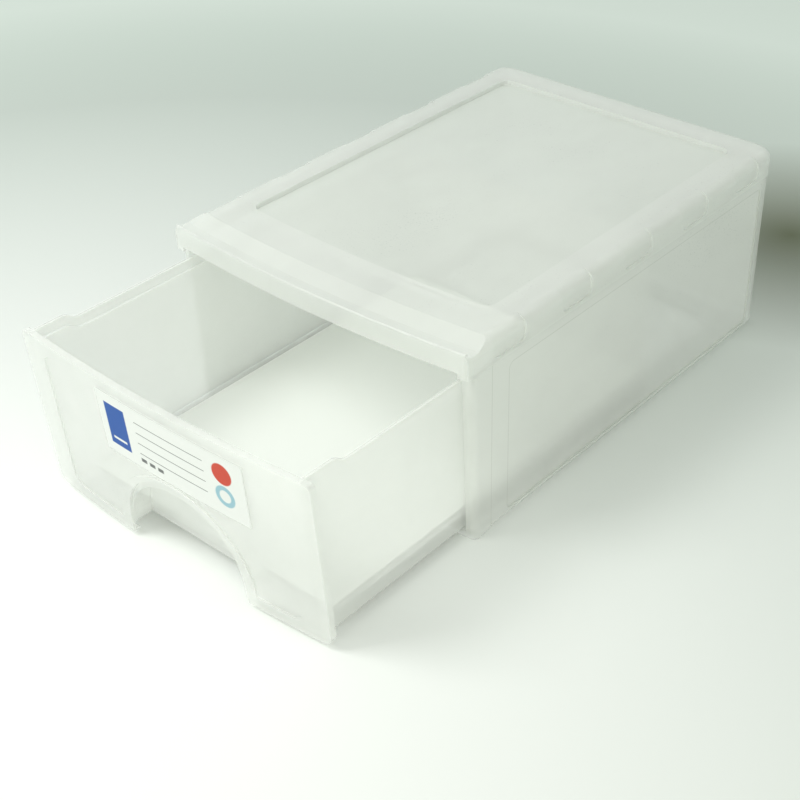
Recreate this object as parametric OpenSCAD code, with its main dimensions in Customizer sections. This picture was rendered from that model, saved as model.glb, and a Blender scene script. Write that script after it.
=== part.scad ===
// Stackable drawer box for craft supplies and small parts, moulded in translucent plastic.
// A case with a clip-on cover stands open at the front, and one deep drawer slides in it.
// The origin is the centre of the case's underside, the front faces -Y and +Z is up.

/* [Case] */
// Width of the case over its front frame and cover
case_w = 280; // [250:1:330]
// Depth of the case, from the middle of its bowed front to its back
case_d = 394; // [340:1:450]
// Height of the case
case_h = 160; // [130:1:210]
// How far the middle of the front stands out before its ends
bow = 7.7; // [5:0.1:10]
// Radius of the upright corners at the front
front_r = 6; // [4:0.5:8]
// Radius of the upright corners at the back
back_r = 17; // [12:1:24]

/* [Case walls] */
// How far the front frame stands proud of the side walls
frame_proud = 0.8; // [0.4:0.1:1.2]
// Depth of the front frame, from its face to the step at the side wall
frame_d = 21; // [16:1:28]
// Width of each front post
post_w = 8.4; // [7:0.1:10]
// Thickness of the posts and of the sill's front
post_t = 2.4; // [1.8:0.1:3.2]
// How far the foot of the front frame lies behind its top
frame_lean = 4.4; // [2:0.2:6]
// Depth of the shallow panel in each side wall and in the back
panel_inset = 1; // [0.5:0.1:1.4]
// From the front of the case to the side panel
panel_front = 48; // [40:1:70]
// From the side panel to the back of the case, and from the back panel to the sides
panel_back = 21; // [18:1:40]
// From the floor to the lower edge of the panels
panel_low = 6; // [5:0.5:20]
// From the upper edge of the panels to the lower edge of the cover
panel_gap = 8.5; // [5:0.5:20]
// Corner radius of the panels
panel_r = 5; // [2:0.5:8]
// Thickness of the case floor
floor_t = 2; // [1.6:0.1:3]

/* [Cover] */
// Height of the cover's skirt, from its lower edge to the top
skirt_h = 20.5; // [17:0.5:28]
// Thickness of the skirt and of the top
skirt_t = 2.6; // [2.4:0.1:3.2]
// Radius of the shoulder between the skirt and the top
shoulder_r = 8; // [6:0.5:10]
// Height of the brow over the drawer opening
brow_h = 16.6; // [15:0.2:20]
// How far the brow hangs out in front of the frame
brow_out = 4.5; // [3:0.1:6]
// Thickness of the ridge on top of the brow
ridge_t = 3; // [2:0.1:4]
// How far the ridge stays below the top
ridge_drop = 0.6; // [0:0.1:2]
// How far the ends of the ridge stop short of the sides
ridge_end = 2.5; // [1:0.5:6]
// Width of the flat bottom of the groove behind the ridge
groove_w = 8; // [6:0.5:12]
// From the front of the frame to the crease where the slope behind the groove ends
crease = 22; // [18:1:30]

/* [Stacking] */
// Depth of the recess in the top, and of the groove behind the ridge
recess_d = 4; // [3:0.2:6]
// Width of the border beside the recess
border_side = 26; // [20:1:40]
// Width of the border behind the recess
border_back = 29; // [22:1:45]
// From the front of the frame to the recess
border_front = 52; // [40:1:70]
// Corner radius of the recess
recess_r = 9; // [5:0.5:14]
// Height of the plinth under the floor
plinth_h = 3.4; // [2.4:0.2:5]
// Clearance between the plinth and the recess that it drops into
stack_gap = 1.5; // [0.5:0.1:3]

/* [Grip pockets] */
// Pockets in each side of the cover
pocket_count = 5; // [2:1:7]
// Distance from one pocket to the next
pocket_pitch = 75; // [45:1:90]
// Length of a pocket
pocket_w = 35; // [20:1:42]
// Depth of a pocket
pocket_d = 1.5; // [0.8:0.1:1.8]
// From the lower edge of the skirt to the bottom of a pocket
pocket_low = 3.2; // [2:0.2:5]
// Radius of a pocket's lower corners
pocket_r = 5; // [2:0.5:6]

/* [Drawer] */
// How far the drawer stands open
drawer_open = 131; // [0:1:240]
// Width of the front panel
face_w = 275; // [245:0.5:325]
// Height of the front panel's upper edge
face_top = 139.5; // [110:0.5:190]
// Height of the front panel's lower edge
face_low = 4; // [1:0.5:5]
// How far the front panel stands out before the case, in its middle at the top
face_out = 15; // [13:0.5:20]
// How far the front panel's lower edge lies behind its upper edge
face_lean = 8.8; // [6:0.2:10]
// How far the middle of the front panel stands out before its ends
face_bow = 6.5; // [4:0.1:8]
// Thickness of the drawer's walls
drawer_t = 2.2; // [1.8:0.1:2.8]
// Depth of the lip that runs round the edge of the front panel
face_lip = 5; // [3:0.1:6]
// Radius of the front panel's upper corners
face_top_r = 4; // [2:0.5:6]
// Radius of the front panel's lower corners
face_low_r = 8; // [5:0.5:16]
// How far the middle of the front panel lies back from its border
field_d = 1.2; // [0.5:0.1:1.8]
// Width of the border at the sides of the front panel
field_side = 22; // [12:0.5:26]
// Width of the border at the top and the bottom of the front panel
field_edge = 10; // [8:0.5:18]
// Corner radius of the front panel's middle
field_r = 10; // [5:0.5:16]
// Width of the drawer box over its side walls
box_w = 255; // [228:0.5:306]
// Length of the drawer box behind the case's front
box_d = 376; // [310:1:430]
// How far the rim stands out from the side walls
rim_out = 2.3; // [1.5:0.1:3]
// Height of the rim band
rim_h = 9.5; // [7:0.5:12]
// Height of the drawer's side at the front panel
side_top = 140; // [112:0.5:190]
// How far the rim drops behind the front panel
rim_drop = 6; // [3:0.5:10]
// From the ends of the front panel to the start of the drop
rim_step = 27; // [18:1:40]
// Length of the drop
rim_sweep = 14; // [10:1:24]
// Height of the drawer's floor over the lower edges of its walls
floor_up = 6.5; // [4:0.5:12]
// Radius of the drawer box's upright corners at the back
box_r = 12; // [8:1:20]

/* [Finger pull] */
// How far the arch sits to the right of the middle
arch_x = 8; // [-10:0.5:15]
// Half the width of the arch in the front panel
arch_a = 57.5; // [45:0.5:75]
// Height of the arch over its springing line
arch_b = 60.5; // [40:0.5:75]
// Height of the arch's springing line
arch_z = 14; // [4:0.5:18]
// Width of the raised band at the legs of the arch
arch_band = 9; // [5:0.5:12]
// Width of the raised band over the top of the arch
arch_crown = 2.5; // [2:0.5:10]
// Depth of the scoop behind the arch
scoop_d = 19; // [12:0.5:24]
// How far the scoop's crown stays under the crown of the arch
step_h = 8; // [3:0.5:12]
// Depth of the step between the arch and the scoop
step_d = 2.6; // [2.4:0.1:4]

/* [Label] */
// Width of the paper label
label_w = 138; // [80:1:180]
// Height of the paper label
label_h = 51; // [30:1:52]
// How far the label sits to the right of the middle
label_x = 11.5; // [-20:0.5:20]
// From the upper edge of the front panel to the label
label_drop = 11; // [11:0.5:30]
// Thickness of the label
label_t = 0.25; // [0.1:0.05:0.4]

/* [Clearances] */
// Gap between the cover and the rim that it clips over
cover_gap = 0.2; // [0.1:0.05:0.4]
// Height of the gap between the case floor and the drawer
slide_gap = 0.4; // [0.3:0.1:1]
// Gap between the closed front panel and the case
front_gap = 0.6; // [0.4:0.1:1.5]

/* [Hidden] */
$fn = 96;
arc_fn = 720;
eps = 1;
far = 40;

half_w = case_w / 2;
half_d = case_d / 2;
bow_r = (half_w * half_w + bow * bow) / (2 * bow);
bow_y = bow_r - half_d;
rim_wall = 1.4;
inner_inset = skirt_t + cover_gap + rim_wall;
floor_top = plinth_h + floor_t;
skirt_z = case_h - skirt_h;
brow_z = case_h - brow_h;
groove_z = case_h - recess_d;
ridge_z = case_h - ridge_drop;
rim_top = skirt_z + skirt_h / 2;
open_half = half_w - post_w;
slope_w = crease - groove_w;
lean_angle = atan(frame_lean / skirt_z);
scoop_top = arch_z + arch_b - step_h;

face_half = face_w / 2;
face_h = face_top - face_low;
face_r = (face_half * face_half + face_bow * face_bow) / (2 * face_bow);
face_y = -half_d - face_out;
box_half = box_w / 2;
box_back = box_d - half_d;
box_low = floor_top + slide_gap;
box_floor = box_low + floor_up;
rim_y = face_y + face_bow + rim_step;
arc_steps = 24;

// Back of the front frame, where the side walls start
frame_y = front_at(half_w, frame_d);

// Y of the case's bowed front at x, or of the surface that lies s behind it
function front_at(x, s = 0) = bow_y - sqrt((bow_r - s) * (bow_r - s) - x * x);
// How far the leaning front panel lies behind its upper edge at height z
function lean_at(z) = face_lean * (face_top - z) / face_h;
// Height of the drawer's upper edge t of the way down its drop
function drop_at(t) = side_top - rim_drop * (1 - cos(180 * t)) / 2;

module both_sides() {
    children();
    mirror([1, 0, 0]) children();
}

// Sweeps a profile, drawn as (distance behind the case's front, height), along the bow
module along_bow() {
    turn = 2 * asin((half_w + far) / bow_r);
    translate([0, bow_y, 0])
        rotate([0, 0, -90 - turn / 2])
            rotate_extrude(angle = turn, $fn = arc_fn)
                translate([bow_r, 0]) mirror([1, 0]) children();
}

// Sweeps a profile, drawn as (distance behind the panel's upper edge, height), along the panel
module along_face() {
    turn = 2 * asin((face_half + far) / face_r);
    translate([0, face_y + face_r, 0])
        rotate([0, 0, -90 - turn / 2])
            rotate_extrude(angle = turn, $fn = arc_fn)
                translate([face_r, 0]) mirror([1, 0]) children();
}

// Extrudes a front view, drawn in X and Z, from y0 back to y1
module front_view(y0, y1) {
    translate([0, y1, 0]) rotate([90, 0, 0]) linear_extrude(y1 - y0) children();
}

// Extrudes a side view, drawn in Y and Z, from x0 to x1
module side_view(x0, x1) {
    translate([x0, 0, 0]) rotate([90, 0, 90]) linear_extrude(x1 - x0) children();
}

// Rectangle from low to high with a radius of its own at the lower and the upper corners
module rounded(low, high, r_low, r_high) {
    difference() {
        translate(low) square(high - low);
        corner_waste([high[0] - r_low, low[1] + r_low], r_low, [1, -1]);
        corner_waste([low[0] + r_low, low[1] + r_low], r_low, [-1, -1]);
        corner_waste([high[0] - r_high, high[1] - r_high], r_high, [1, 1]);
        corner_waste([low[0] + r_high, high[1] - r_high], r_high, [-1, 1]);
    }
}

// What a rounded corner of radius r about c takes away, towards dir
module corner_waste(c, r, dir) {
    translate(c) difference() {
        translate([dir[0] > 0 ? 0 : -2 * r, dir[1] > 0 ? 0 : -2 * r]) square(2 * r);
        circle(r);
    }
}

// Plan with a bowed front, s behind the case's front, straight sides and a straight back
module bowed_plan(hx, s, back, r_front, r_back) {
    reach = bow_r - s;
    corner = [hx - r_front, bow_y - sqrt(pow(reach - r_front, 2) - pow(hx - r_front, 2))];
    outward = (corner - [0, bow_y]) / (reach - r_front);
    difference() {
        intersection() {
            translate([0, bow_y]) circle(reach, $fn = arc_fn);
            rounded([-hx, -half_d - far], [hx, back], eps, r_back);
        }
        both_sides() difference() {
            polygon([
                corner,
                corner + outward * 3 * r_front,
                corner + [3 * r_front, -3 * r_front],
                corner + [3 * r_front, 0]
            ]);
            translate(corner) circle(r_front);
        }
    }
}

// Plan of the case, drawn in by inset at the sides and the back, and by s at the front
module case_plan(inset = 0, s = 0) {
    bowed_plan(half_w - inset, s, half_d - inset, front_r, back_r - inset);
}

// Plan of the stacking recess, grown by g all round
module recess_plan(g = 0) {
    bowed_plan(half_w - border_side + g, border_front - g, half_d - border_back + g,
               recess_r + g, recess_r + g);
}

module upright(z0, z1) {
    translate([0, 0, z0]) linear_extrude(z1 - z0) children();
}

// Extrudes a plan along the lean of the front frame, about the top of the frame
module leaning() {
    translate([0, -half_d, skirt_z])
        rotate([lean_angle, 0, 0])
            translate([0, half_d, -skirt_z - far]) linear_extrude(case_h + 2 * far) children();
}

// ---- case shell ----

// Front frame down to the ground; its sloping foot nests behind the ridge of the box below
module front_frame() {
    slant = slope_w / recess_d;
    difference() {
        intersection() {
            leaning() bowed_plan(half_w, 0, half_d, front_r, eps);
            translate([-case_w, frame_y - case_d, 0]) cube([2 * case_w, case_d, skirt_z]);
        }
        along_bow() polygon([
            [groove_w - slant * eps, -eps],
            [groove_w + slant * plinth_h, plinth_h],
            [far, plinth_h],
            [far, -eps]
        ]);
    }
}

// Shallow panels that stiffen the side walls and the back
module wall_panels() {
    top = skirt_z - panel_gap;
    outer = half_w - frame_proud;
    both_sides()
        side_view(outer - panel_inset, half_w + eps)
            rounded([-half_d + panel_front, panel_low], [half_d - panel_back, top],
                    panel_r, panel_r);
    front_view(half_d - frame_proud - panel_inset, half_d + eps)
        rounded([-half_w + panel_back, panel_low], [half_w - panel_back, top], panel_r, panel_r);
}

module case_shell() {
    color([0.88, 0.92, 0.89, 0.8]) difference() {
        union() {
            upright(plinth_h, skirt_z) case_plan(frame_proud, frame_d / 2);
            front_frame();
            upright(0, floor_top) recess_plan(-stack_gap);
            upright(skirt_z - eps, rim_top) case_plan(skirt_t + cover_gap, frame_d + 2 * eps);
        }
        intersection() {
            upright(floor_top, case_h) case_plan(inner_inset, -front_r);
            leaning() bowed_plan(half_w, post_t, half_d + far, front_r, eps);
        }
        upright(floor_t, case_h) recess_plan(-stack_gap - floor_t);
        translate([-open_half, -half_d - far, floor_top])
            cube([2 * open_half, far + 2 * bow + frame_d, case_h]);
        wall_panels();
    }
}

// ---- case cover ----

// Quarter of the cover's edge: reach wide, rounded between its side and its top
module shoulder(reach, z0, z1, r) {
    difference() {
        translate([0, z0]) square([reach, z1 - z0]);
        corner_waste([reach - r, z1 - r], r, [1, 1]);
    }
}

// Block with a rounded shoulder along its sides, its back and its back corners
module shouldered_block(inset, z0) {
    hx = half_w - inset;
    back = half_d - inset;
    rc = back_r - inset;
    re = shoulder_r - inset;
    front = -half_d - far / 2;
    top = case_h - inset;
    side_view(-hx + rc, hx - rc) translate([front, 0]) shoulder(back - front, z0, top, re);
    both_sides() {
        translate([hx - rc, 0, 0]) front_view(front, back - rc) shoulder(rc, z0, top, re);
        translate([hx - rc, back - rc, 0]) rotate_extrude(angle = 90) shoulder(rc, z0, top, re);
    }
}

// Space in front of the brow and over the ridge, the groove and the slope behind it
module brow_waste() {
    along_bow() polygon([
        [-far, 0],
        [-brow_out + eps / 2, 0],
        [-brow_out + eps / 2, ridge_z - 2 * eps],
        [-brow_out + ridge_t, ridge_z - 2 * eps],
        [-brow_out + ridge_t + eps, groove_z],
        [groove_w, groove_z],
        [crease + slope_w, case_h + recess_d],
        [-far, case_h + recess_d]
    ]);
}

// The brow's face with its rounded ridge, which runs past the shoulders to sharp ends
module brow() {
    intersection() {
        along_bow()
            rounded([-brow_out, skirt_z], [-brow_out + ridge_t, ridge_z], eps / 4, ridge_t / 2 - 0.01);
        front_view(-half_d - far, 0)
            translate([-half_w + ridge_end, 0]) square([2 * (half_w - ridge_end), case_h]);
    }
}

// Room under the cover: one wall thinner than the outside all over
module cover_hollow() {
    difference() {
        shouldered_block(skirt_t, skirt_z - eps);
        along_bow() polygon([
            [-far, 0],
            [-brow_out + skirt_t, 0],
            [-brow_out + skirt_t, groove_z - skirt_t],
            [groove_w + eps, groove_z - skirt_t],
            [crease + eps + slope_w, case_h + recess_d - skirt_t],
            [-far, case_h + recess_d - skirt_t]
        ]);
        upright(case_h - recess_d - skirt_t, case_h) recess_plan(skirt_t);
    }
}

module grip_pocket() {
    z0 = skirt_z + pocket_low;
    intersection() {
        front_view(-pocket_w / 2, pocket_w / 2) difference() {
            translate([half_w - shoulder_r - pocket_d, z0]) square([far, case_h - z0 + eps]);
            translate([-half_w, 0]) shoulder(case_w - pocket_d, 0, case_h, shoulder_r);
        }
        side_view(0, half_w + far)
            rounded([-pocket_w / 2, z0], [pocket_w / 2, case_h + far], pocket_r, eps);
    }
}

module case_cover() {
    color([0.9, 0.94, 0.91, 0.8]) difference() {
        union() {
            difference() {
                shouldered_block(0, skirt_z);
                brow_waste();
            }
            brow();
        }
        cover_hollow();
        upright(case_h - recess_d, case_h + eps) recess_plan();
        for (i = [0 : pocket_count - 1])
            both_sides()
                translate([0, (i - (pocket_count - 1) / 2) * pocket_pitch, 0]) grip_pocket();
        translate([-open_half, -half_d - far, skirt_z - eps])
            cube([2 * open_half, far + 2 * bow + frame_d, brow_z - skirt_z + eps]);
    }
}

// ---- drawer ----

// Half ellipse of the finger pull with its legs running down, grown by g at the sides
// and by top at its crown
module arch(g = 0, top = 0) {
    a = arch_a + g;
    b = arch_b + top;
    polygon(concat(
        [[arch_x + a, -far]],
        [for (i = [0 : arc_steps])
            [arch_x + a * cos(180 * i / arc_steps), arch_z + b * sin(180 * i / arc_steps)]],
        [[arch_x - a, -far]]
    ));
}

module face_outline(inset = 0) {
    rounded([-face_half + inset, face_low + inset], [face_half - inset, face_top - inset],
            face_low_r - inset, face_top_r - inset);
}

// Middle of the front panel, which lies back from the border and from the arch's band
module face_field(inset = 0) {
    difference() {
        rounded([-face_half + field_side + inset, face_low + field_edge + inset],
                [face_half - field_side - inset, face_top - field_edge - inset],
                field_r - inset, field_r - inset);
        arch(arch_band + inset, arch_crown + inset);
    }
}

// Layer of the leaning, bowed panel between the depths a and b behind its face
module face_layer(a, b) {
    z0 = -far;
    z1 = face_top + far;
    along_face() polygon([
        [a + lean_at(z0), z0],
        [b + lean_at(z0), z0],
        [b + lean_at(z1), z1],
        [a + lean_at(z1), z1]
    ]);
}

// Front panel with its border and the lip that runs round its edge, before the pull is cut
module front_panel() {
    front = face_y - far;
    difference() {
        intersection() {
            front_view(front, 0) face_outline();
            face_layer(0, face_lip);
        }
        intersection() {
            front_view(front, 0) face_outline(drawer_t);
            union() {
                face_layer(drawer_t + field_d, 2 * far);
                difference() {
                    face_layer(drawer_t, 2 * far);
                    front_view(front, 0) face_field(-drawer_t);
                }
            }
        }
        intersection() {
            front_view(front, 0) face_field();
            face_layer(-far, field_d);
        }
    }
}

// Side view of the drawer under its upper edge, lowered by d
module under_rim(d) {
    steps = 8;
    polygon(concat(
        [[face_y, -far], [face_y, side_top - d]],
        [for (i = [0 : steps]) [rim_y + rim_sweep * i / steps, drop_at(i / steps) - d]],
        [[box_back + far, side_top - rim_drop - d], [box_back + far, -far]]
    ));
}

// Plan of the drawer box, drawn in by inset
module box_plan(inset) {
    rounded([-box_half + inset, face_y], [box_half - inset, box_back - inset],
            eps, box_r - inset);
}

// Walls, floor and stepped rim of the drawer box
module drawer_box() {
    intersection() {
        difference() {
            union() {
                upright(box_low, side_top + eps) box_plan(0);
                difference() {
                    upright(box_low, side_top + eps) box_plan(-rim_out);
                    side_view(-half_w, half_w) under_rim(rim_h);
                }
            }
            upright(box_floor + drawer_t, side_top + far) box_plan(drawer_t);
            upright(0, box_floor) box_plan(drawer_t);
            difference() {
                upright(box_low, side_top + far) box_plan(drawer_t - rim_out);
                side_view(-half_w, half_w) under_rim(rim_h - drawer_t);
            }
        }
        side_view(-half_w, half_w) under_rim(0);
        face_layer(drawer_t / 2, case_d * 2);
    }
}

// Side view of the scoop: a quarter ellipse from the arch's top to the floor's front edge
module scoop_side(depth, top) {
    y0 = face_y + lean_at(box_floor);
    polygon(concat(
        [[y0 - far, -far], [y0 - far, top]],
        [for (i = [arc_steps : -1 : 0])
            [y0 + depth * cos(90 * i / arc_steps), box_floor + (top - box_floor) * sin(90 * i / arc_steps)]],
        [[y0 + depth, -far]]
    ));
}

// Wall of the scoop, with the step that closes the arch over its crown
module scoop_wall() {
    intersection() {
        union() {
            intersection() {
                front_view(face_y, 0) arch(drawer_t, drawer_t - step_h);
                side_view(-half_w, half_w) scoop_side(scoop_d + drawer_t, scoop_top + drawer_t);
                face_layer(drawer_t / 2, 2 * far);
            }
            intersection() {
                front_view(face_y, 0) arch(drawer_t, drawer_t);
                face_layer(drawer_t / 2, step_d + drawer_t);
            }
        }
        upright(box_floor, face_top) square(4 * half_w, center = true);
    }
}

module scoop_hollow() {
    intersection() {
        front_view(face_y - far, 0) arch(0, -step_h);
        side_view(-half_w, half_w) scoop_side(scoop_d, scoop_top);
    }
    intersection() {
        front_view(face_y - far, 0) arch();
        face_layer(-far, step_d);
    }
    intersection() {
        front_view(face_y - far, 0) arch();
        upright(-far, box_floor) translate([0, face_y]) square([case_w, 2 * far], center = true);
    }
}

// Room for the sill of the case under and behind the front panel
module sill_room() {
    along_bow() translate([-front_gap, -far]) square([2 * far, far + box_low]);
}

module drawer() {
    color([0.92, 0.95, 0.93, 0.8]) translate([0, -drawer_open, 0]) difference() {
        union() {
            front_panel();
            drawer_box();
            scoop_wall();
        }
        scoop_hollow();
        sill_room();
    }
}

// ---- label ----

module label() {
    high = face_top - label_drop;
    color([0.97, 0.97, 0.97]) translate([0, -drawer_open, 0]) intersection() {
        face_layer(field_d - label_t, field_d);
        front_view(face_y - far, 0)
            rounded([label_x - label_w / 2, high - label_h], [label_x + label_w / 2, high],
                    eps, eps);
    }
}

case_shell();
case_cover();
drawer();
label();
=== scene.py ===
"""Stackable drawer box: a see-through case with a clip-on cover, and one deep drawer pulled open."""
import math

import bmesh
import bpy
from mathutils import Matrix, Vector


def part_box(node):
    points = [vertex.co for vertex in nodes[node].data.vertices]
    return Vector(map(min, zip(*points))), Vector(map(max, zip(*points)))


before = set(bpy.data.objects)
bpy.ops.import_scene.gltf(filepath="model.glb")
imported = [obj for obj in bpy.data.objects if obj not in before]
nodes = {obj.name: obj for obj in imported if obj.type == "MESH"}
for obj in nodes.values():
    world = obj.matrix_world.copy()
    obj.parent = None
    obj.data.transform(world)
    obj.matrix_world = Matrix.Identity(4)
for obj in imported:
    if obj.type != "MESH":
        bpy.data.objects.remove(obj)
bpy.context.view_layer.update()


# ---- camera ----
# A little above the open drawer, on its right-hand side, as a shop photographer would stand.

CAMERA_AT = Vector((0.63951, -0.79982, 0.67868))
CAMERA_TURN = math.radians(40.82)
CAMERA_TILT = math.radians(35.13)
CAMERA_ROLL = math.radians(-0.86)
SENSOR_MM = 36
LENS_MM = 66.72
SHIFT_X = -0.05
NEAREST = 0.01

back = Vector((
    math.sin(CAMERA_TURN) * math.cos(CAMERA_TILT),
    -math.cos(CAMERA_TURN) * math.cos(CAMERA_TILT),
    math.sin(CAMERA_TILT),
))
right = Vector((0, 0, 1)).cross(back).normalized()
up = back.cross(right)
rolled_right = math.cos(CAMERA_ROLL) * right + math.sin(CAMERA_ROLL) * up
rolled_up = math.cos(CAMERA_ROLL) * up - math.sin(CAMERA_ROLL) * right
camera_data = bpy.data.cameras.new("camera")
camera_data.sensor_width = SENSOR_MM
camera_data.lens = LENS_MM
camera_data.shift_x = SHIFT_X
camera_data.clip_start = NEAREST
camera = bpy.data.objects.new("camera", camera_data)
camera_axes = Matrix((rolled_right, rolled_up, back)).transposed().to_4x4()
camera.matrix_world = Matrix.Translation(CAMERA_AT) @ camera_axes
bpy.context.scene.collection.objects.link(camera)
bpy.context.scene.camera = camera


# ---- case: lower moulding ----
# Injection-moulded, milky polypropylene: floor, three walls with a shallow panel each, and the
# front frame. It is one piece, and the cover clips over its upper rim.

class Wire:
    """One output of a shader node, with arithmetic that adds the nodes for it."""

    def __init__(self, tree, socket):
        self.tree = tree
        self.socket = socket

    def node(self, kind, settings=None, **inputs):
        """Adds a node of this kind and feeds its sockets, each given by name or, as _0, by number."""
        made = self.tree.nodes.new(kind)
        for key, value in (settings or {}).items():
            setattr(made, key, value)
        for key, value in inputs.items():
            socket = made.inputs[int(key[1:]) if key[0] == "_" else key]
            if isinstance(value, Wire):
                self.tree.links.new(value.socket, socket)
            else:
                socket.default_value = value
        return made

    def out(self, made, output=0):
        """A wire from one of this node's outputs."""
        return Wire(self.tree, made.outputs[output])

    def math(self, operation, *values, clamp=False):
        settings = {"operation": operation, "use_clamp": clamp}
        sockets = {f"_{i}": value for i, value in enumerate(values)}
        return self.out(self.node("ShaderNodeMath", settings, **sockets))

    def __add__(self, other):
        return self.math("ADD", self, other)

    def __radd__(self, other):
        return self.math("ADD", other, self)

    def __sub__(self, other):
        return self.math("SUBTRACT", self, other)

    def __rsub__(self, other):
        return self.math("SUBTRACT", other, self)

    def __mul__(self, other):
        return self.math("MULTIPLY", self, other)

    def __rmul__(self, other):
        return self.math("MULTIPLY", other, self)

    def __truediv__(self, other):
        return self.math("DIVIDE", self, other)

    def over(self, edge, soft):
        """0 below the edge and 1 above it, with a soft step."""
        return ((self - (edge - soft)) / (2 * soft)).clip()

    def clip(self):
        """Held between 0 and 1."""
        return self.math("ADD", self, 0.0, clamp=True)

    def size(self):
        """Without its sign."""
        return self.math("ABSOLUTE", self)

    def most(self, other):
        return self.math("MAXIMUM", self, other)

    def least(self, other):
        return self.math("MINIMUM", self, other)

    def line(self, width):
        """1 where this distance is nought, fading to 0 at half the width on each side."""
        return 1 - self.size().over(width / 4, width / 4)

    def root(self):
        return self.math("SQRT", self)

    def noise(self, scale, detail=2.0, roughness=0.5):
        """Clouds from 0 to 1 in these coordinates."""
        inputs = {"Scale": scale, "Detail": detail, "Roughness": roughness}
        return self.out(self.node("ShaderNodeTexNoise", Vector=self, **inputs))

    def stretched(self, sizes):
        """These coordinates, each multiplied by its own size."""
        made = self.node("ShaderNodeMapping", _0=self)
        made.inputs["Scale"].default_value = sizes
        return self.out(made)

    def axes(self):
        """X, Y and Z of these coordinates."""
        made = self.node("ShaderNodeSeparateXYZ", _0=self)
        return [self.out(made, i) for i in range(3)]

    def mix(self, low, high):
        """A colour between low and high, by this mask."""
        made = self.tree.nodes.new("ShaderNodeMix")
        made.data_type = "RGBA"
        self.tree.links.new(self.socket, made.inputs[0])
        for socket, value in ((made.inputs[6], low), (made.inputs[7], high)):
            if isinstance(value, Wire):
                self.tree.links.new(value.socket, socket)
            else:
                socket.default_value = (*value, 1)
        return Wire(self.tree, made.outputs[2])


def new_material(name):
    """A material with one Principled shader, and a wire on the object's own coordinates."""
    material = bpy.data.materials.new(name)
    material.use_nodes = True
    tree = material.node_tree
    shader = tree.nodes["Principled BSDF"]
    place = tree.nodes.new("ShaderNodeTexCoord")
    return material, tree, shader, Wire(tree, place.outputs["Object"])


def dress(name, material):
    """Gives a moulding or the label this material all over."""
    slots = nodes[name].data.materials
    slots.clear()
    slots.append(material)


PLASTIC_IOR = 1.49
MILK_SHARE = 0.45
MILK_DEPTH = 0.003
MILK_COLOURS = (1.0, 1.0, 1.0)
FLOW_STRETCH = (1.0, 0.55, 0.8)
FLOW_DETAIL = (3.0, 0.55)
FLOW_CLOUD = 0.10
FLOW_FROST = 0.06
FLOW_BUMP = 2.0
BLOOM_SIZE = 620.0
BLOOM_DETAIL = (2.0, 0.6)
BLOOM_FROST = 0.10
BUMP_STRENGTH = 0.05
BUMP_DEPTH = 0.0004


def milky_plastic(name, tint, cloud, clear, frost, flow_size):
    """Natural polypropylene: light soaks through it, and it is cloudier where the melt flowed last.
    Its clearness and its frost vary evenly about the values given. Returns the material, its tree
    and shader, and wires for its colour, density and place."""
    material, tree, shader, place = new_material(name)
    flow = place.stretched(FLOW_STRETCH).noise(flow_size, *FLOW_DETAIL)
    bloom = place.noise(BLOOM_SIZE, *BLOOM_DETAIL)
    least_frost = frost - (BLOOM_FROST + FLOW_FROST) / 2
    roughness = bloom * BLOOM_FROST + least_frost + flow * FLOW_FROST
    tree.links.new(roughness.socket, shader.inputs["Roughness"])
    relief = bloom + flow * FLOW_BUMP
    bump = place.node("ShaderNodeBump", Strength=BUMP_STRENGTH, Distance=BUMP_DEPTH, Height=relief)
    tree.links.new(bump.outputs[0], shader.inputs["Normal"])
    shader.inputs["IOR"].default_value = PLASTIC_IOR
    shader.inputs["Subsurface Weight"].default_value = MILK_SHARE
    shader.inputs["Subsurface Radius"].default_value = MILK_COLOURS
    shader.inputs["Subsurface Scale"].default_value = MILK_DEPTH
    colour = flow.mix(tint, cloud)
    density = flow * FLOW_CLOUD + (1 - clear - FLOW_CLOUD / 2)
    return material, tree, shader, colour, density, place


def rounded_edge(u, v, low, high, radius):
    """The distance from the outline of a rounded rectangle, below nought inside it."""
    off_u = (u - (low[0] + high[0]) / 2).size() - ((high[0] - low[0]) / 2 - radius)
    off_v = (v - (low[1] + high[1]) / 2).size() - ((high[1] - low[1]) / 2 - radius)
    out_u = off_u.most(0.0)
    out_v = off_v.most(0.0)
    return (out_u * out_u + out_v * out_v).root() + off_u.most(off_v).least(0.0) - radius


CASE_TINT = (0.935, 0.975, 0.925)
CASE_CLOUD = (0.965, 0.99, 0.955)
CASE_FROST = 0.30
SHELL_CLEAR = 0.65
SHELL_FLOW = 9.0
# Colour of the painted shade lines along the steps of the panels and the frame.
STEP_SHADE_COLOUR = (0.76, 0.80, 0.735)
LINE_WIDTH = 0.0022
LINE_DEEP = 0.003
LINE_SOFT = 0.0003
FRAME_DEEP = 0.0288
PANEL_FRONT = 0.048
PANEL_BACK = 0.021
PANEL_LOW = 0.006
PANEL_GAP = 0.0085
PANEL_ROUND = 0.005

cover_low, cover_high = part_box("case_cover")
half_wide = cover_high.x
half_deep = cover_high.y
panel_top = cover_low.z - PANEL_GAP
side_panel = ((PANEL_FRONT - half_deep, PANEL_LOW), (half_deep - PANEL_BACK, panel_top))
back_panel = ((PANEL_BACK - half_wide, PANEL_LOW), (half_wide - PANEL_BACK, panel_top))

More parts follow.
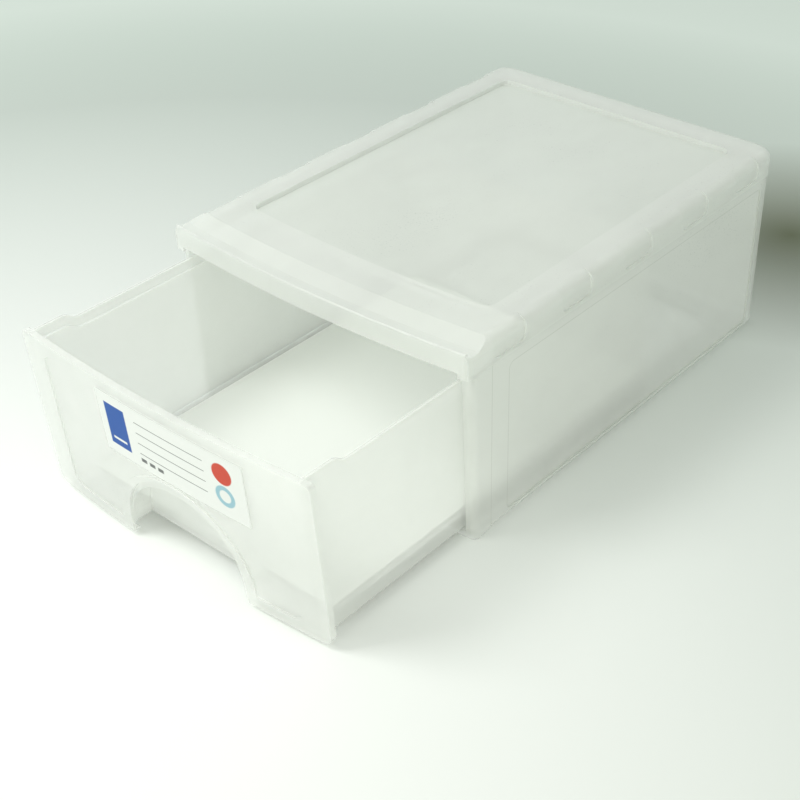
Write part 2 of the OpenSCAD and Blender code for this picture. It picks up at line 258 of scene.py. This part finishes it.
shell_plastic, shell_tree, shell_shader, shell_colour, shell_dense, shell_place = milky_plastic(
    "case_plastic", CASE_TINT, CASE_CLOUD, SHELL_CLEAR, CASE_FROST, SHELL_FLOW)
shell_x, shell_y, shell_z = shell_place.axes()
# Painted shade: thin darker lines along the steps of the side and back panels and of the front frame,
# where the steps throw a little shade.
side_step_shade = rounded_edge(shell_y, shell_z, *side_panel, PANEL_ROUND).line(LINE_WIDTH)
frame_step_shade = (shell_y - (FRAME_DEEP - half_deep)).line(LINE_WIDTH)
on_side = shell_x.size().over(half_wide - LINE_DEEP, LINE_SOFT)
back_step_shade = rounded_edge(shell_x, shell_z, *back_panel, PANEL_ROUND).line(LINE_WIDTH)
on_back = shell_y.over(half_deep - LINE_DEEP, LINE_SOFT)
painted_step_shade = (side_step_shade.most(frame_step_shade) * on_side).most(back_step_shade * on_back)
shell_colour_with_shade = painted_step_shade.mix(shell_colour, STEP_SHADE_COLOUR)
shell_tree.links.new(shell_colour_with_shade.socket, shell_shader.inputs["Base Color"])
shell_tree.links.new(shell_dense.socket, shell_shader.inputs["Alpha"])
dress("case_shell", shell_plastic)


# ---- case: cover ----
# The second moulding of the case. It holds the recess that locates the box on top, the bowed brow
# with its ridge, and the skirt with its grip pockets. Its top is thicker, so it is a shade denser.

COVER_CLEAR = 0.62
COVER_FLOW = 10.5
# Colour of the painted shade on the floor of the recess.
RECESS_SHADE_COLOUR = (0.90, 0.95, 0.89)
BORDER_SIDE = 0.026
BORDER_FRONT = 0.052
BORDER_BACK = 0.029
RECESS_ROUND = 0.009
RECESS_SOFT = 0.0004
RECESS_BOW = 0.408
BOW_SOFT = 0.001
TOP_DEEP = 0.006
TOP_SOFT = 0.0003

recess = ((BORDER_SIDE - half_wide, BORDER_FRONT - half_deep),
          (half_wide - BORDER_SIDE, half_deep - BORDER_BACK))

cover_plastic, cover_tree, cover_shader, cover_colour, cover_dense, cover_place = milky_plastic(
    "cover_plastic", CASE_TINT, CASE_CLOUD, COVER_CLEAR, CASE_FROST, COVER_FLOW)
cover_x, cover_y, cover_z = cover_place.axes()
front_half = 1 - cover_y.over(0.0, BOW_SOFT)
straight_y = cover_y - cover_x * cover_x * RECESS_BOW * front_half
# Painted shade: the floor of the recess is coloured darker than the border round it, so its edge reads
# as a bright line.
recess_edge = rounded_edge(cover_x, straight_y, *recess, RECESS_ROUND)
inside_edge = 1 - recess_edge.over(-RECESS_SOFT, RECESS_SOFT)
recess_shade = inside_edge * cover_z.over(cover_high.z - TOP_DEEP, TOP_SOFT)
cover_colour_with_shade = recess_shade.mix(cover_colour, RECESS_SHADE_COLOUR)
cover_tree.links.new(cover_colour_with_shade.socket, cover_shader.inputs["Base Color"])
cover_tree.links.new(cover_dense.socket, cover_shader.inputs["Alpha"])
dress("case_cover", cover_plastic)


# ---- drawer ----
# One deep moulding in the same plastic, a shade denser: box, rim, bowed front panel and the
# arched finger pull. The floor is drawn with an opaque copy of the plastic in its lighter colour:
# painted light that brightens the inside of the drawer.

DRAWER_TINT = (0.945, 0.978, 0.935)
DRAWER_CLOUD = (0.97, 0.992, 0.96)
DRAWER_CLEAR = 0.60
DRAWER_FROST = 0.30
DRAWER_FLOW = 12.0
FLOOR_HIGH = 0.0115
FLOOR_SIDE = 0.018
FLOOR_FRONT = 0.034
FLOOR_SOFT = 0.0005
FRONT_SOFT = 0.001

drawer_low, drawer_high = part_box("drawer")
drawer_plastic, drawer_tree, drawer_shader, drawer_colour, drawer_dense, drawer_place = milky_plastic(
    "drawer_plastic", DRAWER_TINT, DRAWER_CLOUD, DRAWER_CLEAR, DRAWER_FROST, DRAWER_FLOW)
drawer_tree.links.new(drawer_colour.socket, drawer_shader.inputs["Base Color"])
drawer_tree.links.new(drawer_dense.socket, drawer_shader.inputs["Alpha"])
# Painted light: an opaque, lighter copy of the plastic for the floor, so the inside of the drawer reads
# brighter.
lit_floor_copy = drawer_tree.nodes.new("ShaderNodeBsdfPrincipled")
lit_floor_copy.inputs["Base Color"].default_value = (*DRAWER_CLOUD, 1)
lit_floor_copy.inputs["Roughness"].default_value = DRAWER_FROST
drawer_x, drawer_y, drawer_z = drawer_place.axes()
under_top = 1 - drawer_z.over(drawer_low.z + FLOOR_HIGH, FLOOR_SOFT)
between_walls = 1 - drawer_x.size().over(drawer_high.x - FLOOR_SIDE, FLOOR_SOFT)
behind_front = drawer_y.over(drawer_low.y + FLOOR_FRONT, FRONT_SOFT)
in_floor = under_top * between_walls * behind_front
both = drawer_place.node("ShaderNodeMixShader", _0=in_floor)
drawer_tree.links.new(drawer_shader.outputs[0], both.inputs[1])
drawer_tree.links.new(lit_floor_copy.outputs[0], both.inputs[2])
drawer_tree.links.new(both.outputs[0], drawer_tree.nodes["Material Output"].inputs["Surface"])
dress("drawer", drawer_plastic)


# ---- label ----
# A coated paper sticker on the front panel, with a plain printed design: a band with a bar in it,
# lines to write on, three small marks, a dot and a ring.

PAPER = (0.83, 0.85, 0.83)
PAPER_FIBRE = (0.86, 0.88, 0.86)
FIBRE_SIZE = 900.0
PAPER_ROUGH = 0.45
PAPER_SHINE = 0.2
INK_BLUE = (0.02, 0.10, 0.40)
INK_RED = (0.62, 0.07, 0.04)
INK_GREY = (0.16, 0.17, 0.17)
INK_SKY = (0.33, 0.55, 0.64)
PRINT_SOFT = 0.003
BAND = (0.05, 0.20, 0.16, 0.84)
BAND_BAR = (0.075, 0.175, 0.26, 0.30)
RULES = 4
RULE_LEFT = 0.27
RULE_RIGHT = 0.74
RULE_LOW = 0.25
RULE_PITCH = 0.17
RULE_THICK = 0.012
RULE_SOFT = 0.0015
MARKS = 3
MARK_PITCH = 0.06
MARK_WIDE = 0.04
MARK_LOW = 0.12
MARK_HIGH = 0.18
DOT_AT = (0.86, 0.70)
RING_AT = (0.86, 0.34)
DOT_RADIUS = 0.062
RING_HOLE = 0.036

label_low, label_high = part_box("label")
label_material, label_tree, label_shader, label_place = new_material("label_paper")
label_x, _, label_z = label_place.axes()
label_wide = label_high.x - label_low.x
label_tall = label_high.z - label_low.z
across = (label_x - label_low.x) / label_wide
height = (label_z - label_low.z) / label_tall


def block(left, right, low, high, soft=PRINT_SOFT):
    """A printed rectangle, in shares of the label's width and height."""
    inside_x = across.over(left, soft) * (1 - across.over(right, soft))
    inside_z = height.over(low, 2 * soft) * (1 - height.over(high, 2 * soft))
    return inside_x * inside_z


def dot(x, z, radius):
    """A printed dot: its place in shares of the width and height, its radius in shares of the width."""
    off_x = across - x
    off_z = (height - z) * (label_tall / label_wide)
    return 1 - (off_x * off_x + off_z * off_z).root().over(radius, PRINT_SOFT)


print_on = label_place.noise(FIBRE_SIZE).mix(PAPER, PAPER_FIBRE)
print_on = block(*BAND).mix(print_on, INK_BLUE)
print_on = block(*BAND_BAR).mix(print_on, PAPER)
for rule in range(RULES):
    low = RULE_LOW + RULE_PITCH * rule
    print_on = block(RULE_LEFT, RULE_RIGHT, low, low + RULE_THICK, RULE_SOFT).mix(print_on, INK_GREY)
for mark in range(MARKS):
    left = RULE_LEFT + MARK_PITCH * mark
    print_on = block(left, left + MARK_WIDE, MARK_LOW, MARK_HIGH).mix(print_on, INK_GREY)
print_on = dot(*DOT_AT, DOT_RADIUS).mix(print_on, INK_RED)
print_on = dot(*RING_AT, DOT_RADIUS).mix(print_on, INK_SKY)
print_on = dot(*RING_AT, RING_HOLE).mix(print_on, PAPER)
label_tree.links.new(print_on.socket, label_shader.inputs["Base Color"])
label_shader.inputs["Roughness"].default_value = PAPER_ROUGH
label_shader.inputs["Specular IOR Level"].default_value = PAPER_SHINE
dress("label", label_material)


# ---- studio ----
# A seamless pale sweep with a painted pool of light in front of the box that darkens further off
# and lightens again far away, and a painted shadow patch behind it. A soft key lamp stands at the
# front left, a wider fill at the front right, and a pale room is all round.

SWEEP_POOL_LIGHT = (0.93, 0.95, 0.935)
SWEEP_FAR = (0.55, 0.63, 0.575)
SWEEP_END = (0.84, 0.93, 0.87)
SWEEP_PAINTED_SHADOW = (0.14, 0.16, 0.10)
SWEEP_ROUGH = 0.9
SWEEP_REACH = 6.0
LIGHT_POOL_AT = (0.0, -0.42)
LIGHT_POOL_REACH = (0.62, 0.46)
END_REACH = (1.02, 0.16)
PAINTED_SHADOW_AT = (0.09, 0.345)
PAINTED_SHADOW_REACH = (0.10, 0.10)

floor_mesh = bmesh.new()
bmesh.ops.create_grid(floor_mesh, x_segments=2, y_segments=2, size=SWEEP_REACH)
floor_data = bpy.data.meshes.new("floor")
floor_mesh.to_mesh(floor_data)
floor_mesh.free()
floor = bpy.data.objects.new("floor", floor_data)
bpy.context.scene.collection.objects.link(floor)
floor_material, floor_tree, floor_shader, floor_place = new_material("paper_sweep")
floor_x, floor_y, _ = floor_place.axes()


def away_from(spot):
    """The distance over the floor from a spot on it."""
    off_x = floor_x - spot[0]
    off_y = floor_y - spot[1]
    return (off_x * off_x + off_y * off_y).root()


# Painted light: a pool of light on the sweep in front of the box, darker further off and lighter again
# far away.
sweep = away_from(LIGHT_POOL_AT).over(*LIGHT_POOL_REACH).mix(SWEEP_POOL_LIGHT, SWEEP_FAR)
sweep = away_from(LIGHT_POOL_AT).over(*END_REACH).mix(sweep, SWEEP_END)
# Painted shadow: a dark soft patch on the sweep behind the rear right corner of the box.
sweep = away_from(PAINTED_SHADOW_AT).over(*PAINTED_SHADOW_REACH).mix(SWEEP_PAINTED_SHADOW, sweep)
floor_tree.links.new(sweep.socket, floor_shader.inputs["Base Color"])
floor_shader.inputs["Roughness"].default_value = SWEEP_ROUGH
floor_data.materials.append(floor_material)

KEY_AT = (-0.55, -0.9, 1.25)
KEY_AIM = (0, -0.12, 0.05)
KEY_SIZE = 0.6
KEY_WATTS = 11
KEY_COLOUR = (1.0, 1.0, 0.98)
FILL_AT = (0.95, -0.95, 0.60)
FILL_AIM = (0.14, -0.2, 0.05)
FILL_SIZE = 0.9
FILL_WATTS = 3.2
FILL_COLOUR = (1.0, 0.985, 0.80)


def soft_box(name, at, aim, size, watts, colour):
    """A square lamp with a diffuser, aimed at a point."""
    lamp_data = bpy.data.lights.new(name, "AREA")
    lamp_data.shape = "SQUARE"
    lamp_data.size = size
    lamp_data.energy = watts
    lamp_data.color = colour
    lamp = bpy.data.objects.new(name, lamp_data)
    lamp.location = at
    lamp.rotation_euler = (Vector(aim) - Vector(at)).to_track_quat("-Z", "Y").to_euler()
    bpy.context.scene.collection.objects.link(lamp)


soft_box("key", KEY_AT, KEY_AIM, KEY_SIZE, KEY_WATTS, KEY_COLOUR)
soft_box("fill", FILL_AT, FILL_AIM, FILL_SIZE, FILL_WATTS, FILL_COLOUR)

ROOM_LIGHT = (0.96, 1.0, 0.955)
ROOM_STRENGTH = 0.61

world = bpy.data.worlds.new("room")
bpy.context.scene.world = world
world.use_nodes = True
room = world.node_tree.nodes["Background"]
room.inputs["Color"].default_value = (*ROOM_LIGHT, 1)
room.inputs["Strength"].default_value = ROOM_STRENGTH
bpy.context.scene.view_settings.view_transform = "Standard"
